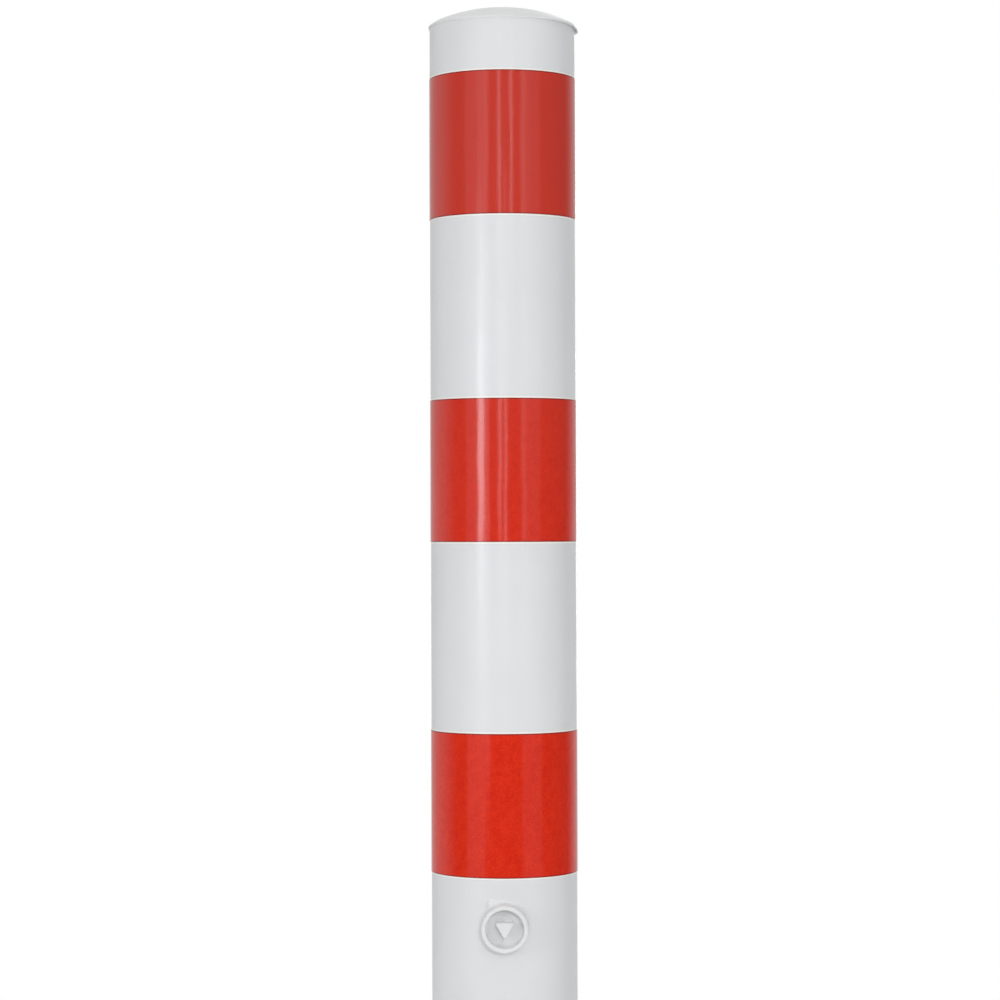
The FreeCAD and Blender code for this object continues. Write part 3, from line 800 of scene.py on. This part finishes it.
def build_weld():
    """Hand-laid bead in the corner between the collar and the post, rounded over by paint.

    It is larger at the top, wanders a little and has a lump at the upper left.
    """
    points = []
    for step in range(WELD_STEPS_ROUND):
        angle = TURN * step / WELD_STEPS_ROUND
        wander = noise.noise(Vector((1.8 * math.cos(angle), 1.8 * math.sin(angle), 4.0)))
        lump = math.exp(-((angle - WELD_LUMP_ANGLE) / WELD_LUMP_SPREAD) ** 2)
        above = max(math.sin(angle), 0.0) ** 2
        leg = WELD_LEG * (1.0 + 0.20 * wander + 0.45 * above + 1.3 * lump)
        height = WELD_LEG * (0.95 - 0.15 * wander + 0.35 * above + 0.25 * lump)
        ripple = WELD_RIPPLE * math.sin(WELD_RIPPLE_COUNT * angle + 6 * wander)
        corner = weld_point(angle, 0.0)
        on_post = weld_point(angle, leg)
        on_collar = corner + Vector((0, -height, 0))
        outward = (on_post + on_collar - 2 * corner).normalized()
        for column in range(WELD_STEPS_ACROSS + 1):
            part = column / WELD_STEPS_ACROSS
            swell = math.sin(math.pi * part) ** 2
            lump_swell = math.sin(math.pi * part ** 0.7) ** 2
            raised = ripple * swell + WELD_LUMP_RISE * lump * lump_swell
            point = fillet(on_post, corner, on_collar, part)
            points.append(point + outward * (raised - WELD_SINK * (1 - swell)))
        points.append(corner - outward * WELD_ROOT)
    faces = ring_faces(WELD_STEPS_ROUND, WELD_STEPS_ACROSS + 2)
    add_piece("weld", points, faces, white_paint, "collar_weld", sharp_deg=80.0)


# The ground sleeve

def square_loop(half, corner):
    """Points round a square with rounded corners, evenly numbered from side to side."""
    loop = []
    straight = half - corner
    for side in range(4):
        turn = Matrix.Rotation(TURN / 4 * side, 2)
        for step in range(SLEEVE_SIDE_STEPS):
            along = -straight + 2 * straight * step / SLEEVE_SIDE_STEPS
            loop.append(turn @ Vector((half, along)))
        for step in range(SLEEVE_CORNER_STEPS):
            angle = TURN / 4 * step / SLEEVE_CORNER_STEPS
            loop.append(turn @ Vector((straight + corner * math.cos(angle),
                                       straight + corner * math.sin(angle))))
    return loop


def build_sleeve():
    """Sawn square tube with ragged ends, its holes, a chipped rim and its weld seam."""
    low, high = sleeve_low.z, sleeve_high.z
    outer = square_loop(SLEEVE_HALF, SLEEVE_CORNER)
    blunted = square_loop(SLEEVE_HALF - SLEEVE_BLUNT, SLEEVE_CORNER - SLEEVE_BLUNT)
    inner = square_loop(SLEEVE_INNER_HALF, SLEEVE_CORNER - SLEEVE_WALL)
    rings = [(outer, low + SLEEVE_BLUNT), (outer, high - SLEEVE_BLUNT), (blunted, high),
             (inner, high), (inner, low), (blunted, low)]
    points = [Vector((x, y, height)) for loop, height in rings for x, y in loop]
    sleeve = add_piece("sleeve", points, ring_faces(len(rings), len(outer)), raw_steel,
                       "ground_sleeve")
    through = 1.5 * SLEEVE_HALF
    cut_with(sleeve, *cylinder(SLEEVE_HOLE_R, -through, through, facing_front(BOLT_Z),
                               SLEEVE_HOLE_STEPS))
    slot_corners = [(x, SLOT_Z + z, SLOT_CORNER) for x, z in (
        (-SLOT_WIDTH / 2, -SLOT_HEIGHT / 2), (SLOT_WIDTH / 2, -SLOT_HEIGHT / 2),
        (SLOT_WIDTH / 2, SLOT_HEIGHT / 2), (-SLOT_WIDTH / 2, SLOT_HEIGHT / 2))]
    cut_with(sleeve, *prism(rounded(slot_corners), -through, through))
    chip = [Vector(corner) * MM for corner in RIM_CHIP]
    cut_with(sleeve, *prism(chip, SLEEVE_HALF - 2 * SLEEVE_WALL, through))
    for vertex in sleeve.data.vertices:
        ragged = max(0.5 + 0.5 * noise.noise(vertex.co * 130)
                     + 0.25 * noise.noise(vertex.co * 500), 0.0)
        if vertex.co.z > high - 0.1 * MM:
            vertex.co.z -= RIM_RAGGED * ragged
        if vertex.co.z < low + 0.1 * MM:
            vertex.co.z += FOOT_RAGGED * ragged
    join_seam(sleeve.data)
    shade(sleeve.data, 30.0)


def join_seam(mesh):
    """Adds the tube's own weld seam, a low wandering ridge inside the back wall."""
    work = bmesh.new()
    work.from_mesh(mesh)
    length = sleeve_high.z - sleeve_low.z - 2 * MM
    rows = []
    for step in range(SEAM_STEPS_LONG + 1):
        height = sleeve_low.z + 1 * MM + length * step / SEAM_STEPS_LONG
        wander = noise.noise(Vector((0.0, 7.0, height * 60)))
        ripple = noise.noise(Vector((3.0, 0.0, height * 700)))
        middle = SEAM_WANDER * wander
        row = []
        for column in range(SEAM_STEPS_ACROSS + 1):
            part = column / SEAM_STEPS_ACROSS
            rise = math.sin(math.pi * part) * (0.72 + 0.08 * wander + 0.10 * ripple) * MM
            row.append(work.verts.new((middle + (part - 0.5) * SEAM_WIDTH,
                                       SLEEVE_INNER_HALF - rise + 0.02 * MM, height)))
        row.append(work.verts.new((middle, SLEEVE_INNER_HALF + 0.3 * MM, height)))
        rows.append(row)
    for first, second in zip(rows, rows[1:]):
        for column in range(len(first)):
            beside = (column + 1) % len(first)
            work.faces.new((first[column], first[beside], second[beside], second[column]))
    work.faces.new(rows[0])
    work.faces.new(rows[-1][::-1])
    bmesh.ops.recalc_face_normals(work, faces=work.faces)
    work.to_mesh(mesh)
    work.free()


build_tube()
build_cap()
for band_name in BANDS:
    build_band(band_name)
build_collar()
build_weld()
build_sleeve()


# Floor, background and light

FLOOR_DIM = rgb(0.90, 0.90, 0.90)
FLOOR_PALE = rgb(0.93, 0.93, 0.93)
FLOOR_MIDDLE_R = 0.4
FLOOR_R = 1.4
FLOOR_DEPTH = 0.01
FLOOR_STEPS = 64
AMBIENT_ROUND = 0.425            # soft light from every side
AMBIENT_HIGH = 1.25              # added high up in front, as a multiple of that
SCREEN_FRONT = 0.12              # brightness in front
SCREEN_SIDE = 0.65               # and towards the sides
SCREEN_AZIMUTH = math.radians(18)   # of its darkest part, from the front towards +X
SCREEN_TOP = 2.4
SCREEN_R = 2.5
SCREEN_STEPS = 96
LAMP_DISTANCE = 2.2
LAMP_TINT = (0.95, 0.99, 1.04)
LAMP_TOP = 1.27                  # common top of the tall panels


def white_for_viewers(shader):
    """1 for rays from the camera and those that bounce off gloss or pass through glass."""
    path = shader.node("LightPath").outputs
    return shader.largest(path["Is Camera Ray"], path["Is Glossy Ray"],
                          path["Is Transmission Ray"])


def build_floor():
    """Pale disc under the sleeve that fades to the white background at its edge."""
    shader = new_shader("pale_floor")
    place = shader.place()
    off = shader.distance(*shader.split(place)[:2])
    fade = shader.product(shader.ramp(off, 0.05, 0.9, 0.35, 1.0), white_for_viewers(shader))
    tone = shader.mix(shader.noise(place, 30.0, detail=3.0), FLOOR_DIM, FLOOR_PALE)
    ground = shader.node("BsdfDiffuse", {"Color": tone}).outputs[0]
    surface = shader.node("MixShader", {0: fade, 1: ground, 2: shader.glow(1.0)}).outputs[0]
    material = shader.finish(surface)
    centre_r = 0.1 * MM
    rings = [(centre_r, 0.0), (FLOOR_MIDDLE_R, 0.0), (FLOOR_R, 0.0),
             (FLOOR_R, -FLOOR_DEPTH), (centre_r, -FLOOR_DEPTH)]
    mesh = new_mesh("floor", *lathe(rings, FLOOR_STEPS, upright))
    tidy_mesh(mesh)
    mesh.materials.append(material)
    floor = new_object("floor", mesh)
    floor.location.z = cad_low.z


def build_world():
    """White to look at, and a soft light all round that is stronger high up in front."""
    world = bpy.data.worlds.new("studio")
    bpy.context.scene.world = world
    shader = Shader(world)
    behind, above = shader.split(shader.share())[1:]
    overhead = shader.ramp(above, 0.30, 0.85, 0.0, AMBIENT_ROUND * AMBIENT_HIGH)
    in_front = shader.ramp(behind, -0.30, 0.30, 1.0, 0.0)
    level = shader.math("MULTIPLY_ADD", overhead, in_front, AMBIENT_ROUND)
    strength = shader.blend(white_for_viewers(shader), level, 1.0)
    background = shader.node("Background", {"Color": rgb(1, 1, 1), "Strength": strength})
    shader.node("OutputWorld", {"Surface": background.outputs[0]})


def build_dark_screen():
    """Studio wall that only gloss shows: dim in front of the post, white behind it."""
    shader = new_shader("dark_screen")
    x, y = shader.split(shader.place())[:2]
    away = shader.math("MULTIPLY_ADD", x, -math.sin(SCREEN_AZIMUTH) / SCREEN_R,
                       shader.product(y, math.cos(SCREEN_AZIMUTH) / SCREEN_R))
    side = shader.ramp(away, 0.05, 0.60, SCREEN_FRONT, SCREEN_SIDE)
    level = shader.largest(side, shader.ramp(y, 0.85 * SCREEN_R, SCREEN_R))
    material = shader.finish(shader.glow(level))
    rings = [(SCREEN_R, cad_low.z), (SCREEN_R, SCREEN_TOP)]
    mesh = new_mesh("dark_screen", *lathe(rings, SCREEN_STEPS, upright, closed=False))
    mesh.materials.append(material)
    screen = new_object("dark_screen", mesh)
    for rays in ("camera", "diffuse", "transmission", "volume_scatter", "shadow"):
        setattr(screen, "visible_" + rays, False)


def softbox(name, azimuth_deg, width_deg, low, high, radiance, shape="RECTANGLE", glossy=True):
    """Lamp panel that faces the post's axis between two heights.

    azimuth_deg is counted from the front towards +X, and width_deg is the panel's
    width as the post sees it. glossy shows the panel in the gloss.
    """
    width = 2 * LAMP_DISTANCE * math.tan(math.radians(width_deg / 2))
    height = high - low
    lamp = bpy.data.lights.new(name, "AREA")
    lamp.shape = shape
    lamp.size = width
    lamp.size_y = height
    lamp.color = LAMP_TINT
    area = width * height * (math.pi / 4 if shape == "ELLIPSE" else 1.0)
    lamp.energy = radiance * math.pi * area
    angle = math.radians(azimuth_deg)
    middle = Vector((0, 0, (low + high) / 2))
    out = Vector((math.sin(angle), -math.cos(angle), 0))
    panel = new_object(name, lamp)
    panel.location = middle + LAMP_DISTANCE * out
    panel.rotation_mode = "QUATERNION"
    panel.rotation_quaternion = (-out).to_track_quat("-Z", "Y")
    panel.visible_camera = False
    panel.visible_glossy = glossy


def build_lights():
    # Window at the left, with the soft edges of its reflection
    softbox("window_left", -34.5, 11.0, 0.48, 0.88, 6.7, shape="ELLIPSE")
    softbox("window_left_glow", -34.5, 11.0, 0.26, 1.22, 0.44)
    softbox("window_left_edge", -25.5, 7.0, 0.20, LAMP_TOP, 1.14)
    softbox("window_left_haze", -45.0, 30.0, -0.10, LAMP_TOP, 0.44)
    # Narrow strips that draw the lines of light on the films
    softbox("strip_front", -5.5, 3.5, 0.50, LAMP_TOP, 3.0)
    softbox("strip_middle", 3.0, 3.5, 0.42, 0.98, 2.5)
    softbox("strip_high", 13.5, 4.0, 0.95, LAMP_TOP, 2.6)
    softbox("strip_right", 32.0, 7.0, 0.30, LAMP_TOP, 0.57)
    softbox("strip_right_high", 37.0, 14.0, 0.95, LAMP_TOP, 0.19)
    softbox("strip_right_haze", 44.0, 32.0, -0.20, LAMP_TOP, 0.31)
    # Lamps that light the front and the back and don't show in the gloss, and a strip behind
    # that does
    softbox("camera_lamp", 5.0, 3.2, 0.67, 0.79, 184, glossy=False)
    softbox("high_lamp", 12.4, 3.2, 1.00, 1.12, 46, glossy=False)
    softbox("back_lamp", 180.0, 30.0, -0.10, 1.60, 3.6, glossy=False)
    softbox("back_strip", 171.0, 4.0, 0.30, 2.0, 2.6)


# Camera, fitted to the photograph's outline and band edges

CAMERA_PLACE = Vector((-0.0024, -2.077, 0.5365))
CAMERA_SENSOR = 36.0
CAMERA_LENS = 106.9
CAMERA_PITCH_DEG = 0.513
CAMERA_ROLL_DEG = -0.178


def build_camera():
    data = bpy.data.cameras.new("camera")
    data.sensor_width = CAMERA_SENSOR
    data.lens = CAMERA_LENS
    camera = new_object("camera", data)
    camera.location = CAMERA_PLACE
    camera.rotation_mode = "QUATERNION"
    level = Quaternion((1, 0, 0), math.radians(90 + CAMERA_PITCH_DEG))
    camera.rotation_quaternion = level @ Quaternion((0, 0, 1), math.radians(CAMERA_ROLL_DEG))
    bpy.context.scene.camera = camera


build_floor()
build_world()
build_dark_screen()
build_lights()
build_camera()
bpy.context.scene.view_settings.view_transform = "Standard"
